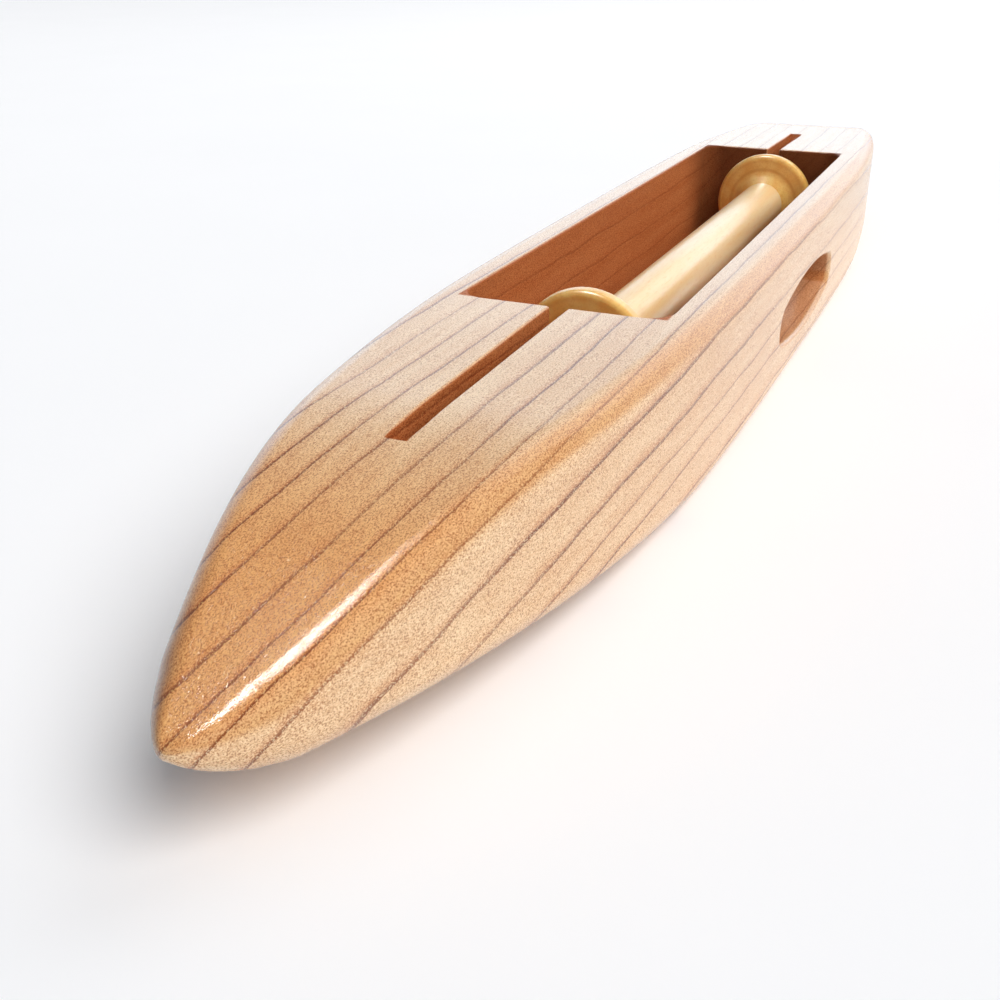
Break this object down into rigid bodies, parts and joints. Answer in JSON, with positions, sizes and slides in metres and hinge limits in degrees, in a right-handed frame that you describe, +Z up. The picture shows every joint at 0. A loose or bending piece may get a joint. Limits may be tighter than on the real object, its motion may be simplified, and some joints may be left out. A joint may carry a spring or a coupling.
{
  "type": "weaving boat shuttle",
  "caption": "Closed-bottom wooden boat shuttle for hand weaving, with a flip-up steel spindle and a free-turning flanged wooden bobbin.",
  "frame": {"origin": "on the floor, under the middle of the body's length and width", "axes": "+X along the length, from the hinge-slot nose towards the kerf nose; +Z up through the open deck; -Y out of the wall that has the thread eye"},
  "size_m": [0.26, 0.037, 0.022],
  "materials": {
    "body_wood": "clear satin to gloss varnish on cherry or maple, thin lengthwise growth lines",
    "pin_steel": "drawn steel wire",
    "plug_wood": "end grain, sanded flush and varnished",
    "spindle_steel": "polished steel rod",
    "barrel_wood": "pale turned hardwood, clear satin",
    "flange_wood": "golden turned hardwood, clear satin"
  },
  "bodies": {
    "body": {"shuttle_body": "body_wood", "pivot_pin": "pin_steel", "pin_plug": "plug_wood"},
    "spindle": {"spindle": "spindle_steel"},
    "bobbin": {"bobbin_barrel": "barrel_wood", "bobbin_flange_hinge_end": "flange_wood", "bobbin_flange_free_end": "flange_wood"}
  },
  "joints": [
    {"name": "spindle_lift", "type": "hinge", "parent": "body", "child": "spindle", "pos_m": [-0.0675, 0, 0.0127], "axis": [0, -1, 0], "range_deg": [0, 120]},
    {"name": "bobbin_spin", "type": "hinge", "parent": "spindle", "child": "bobbin", "pos_m": [0, 0, 0.0127], "axis": [1, 0, 0], "continuous": true}
  ]
}
